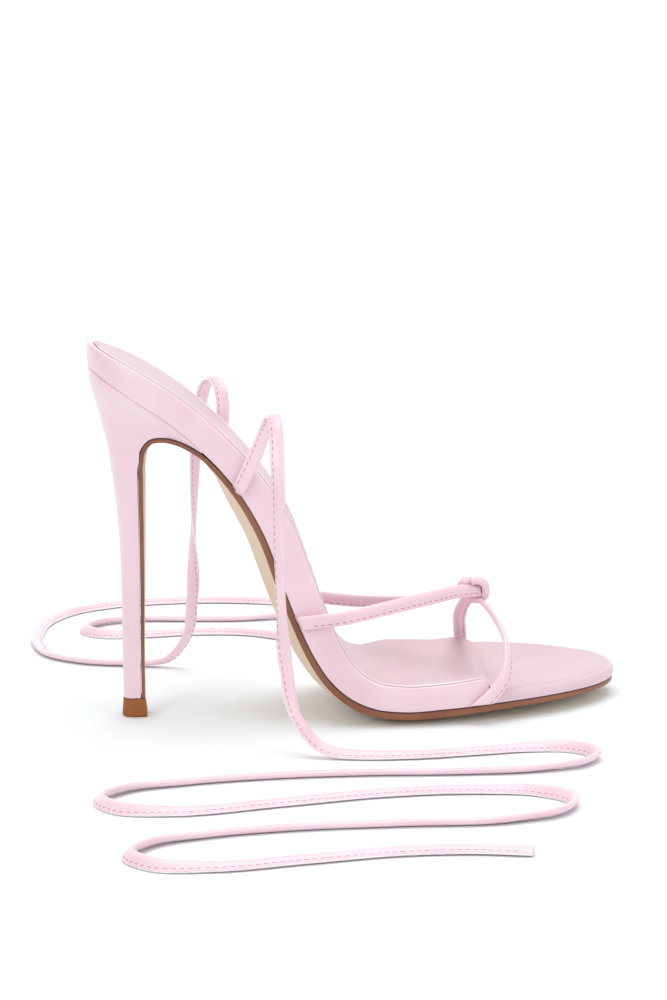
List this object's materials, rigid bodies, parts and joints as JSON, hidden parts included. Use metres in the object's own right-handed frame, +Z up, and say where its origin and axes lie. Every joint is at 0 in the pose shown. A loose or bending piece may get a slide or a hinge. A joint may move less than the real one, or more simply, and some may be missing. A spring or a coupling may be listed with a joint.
{
  "type": "lace up heeled sandal",
  "caption": "Stiletto sandal with a shaped footbed, thin toe straps joined in a knot, and two long ankle ties lying on the floor.",
  "frame": {"origin": "on the floor, under the middle of the shoe from heel to toe and from side to side, without the ankle ties", "axes": "+X from the heel towards the toe, +Y from the outer side of the foot to the inner side, +Z up from the floor"},
  "size_m": [0.2195, 0.3901, 0.1377],
  "materials": {
    "pink_leather": "smooth pale pink leather, soft sheen",
    "sock_leather": "pale pink lining leather, matte",
    "strap_leather": "soft pale pink leather, stitched",
    "sole_leather": "tan sole with a brown edge",
    "tip_rubber": "hard caramel rubber"
  },
  "bodies": {
    "root": {"outsole": "sole_leather", "toe_insole": "pink_leather", "footbed": "pink_leather", "sock": "sock_leather", "heel": "pink_leather", "top_piece": "tip_rubber", "toe_straps": "strap_leather", "tie_outer": "strap_leather", "tie_inner": "strap_leather"}
  },
  "joints": []
}
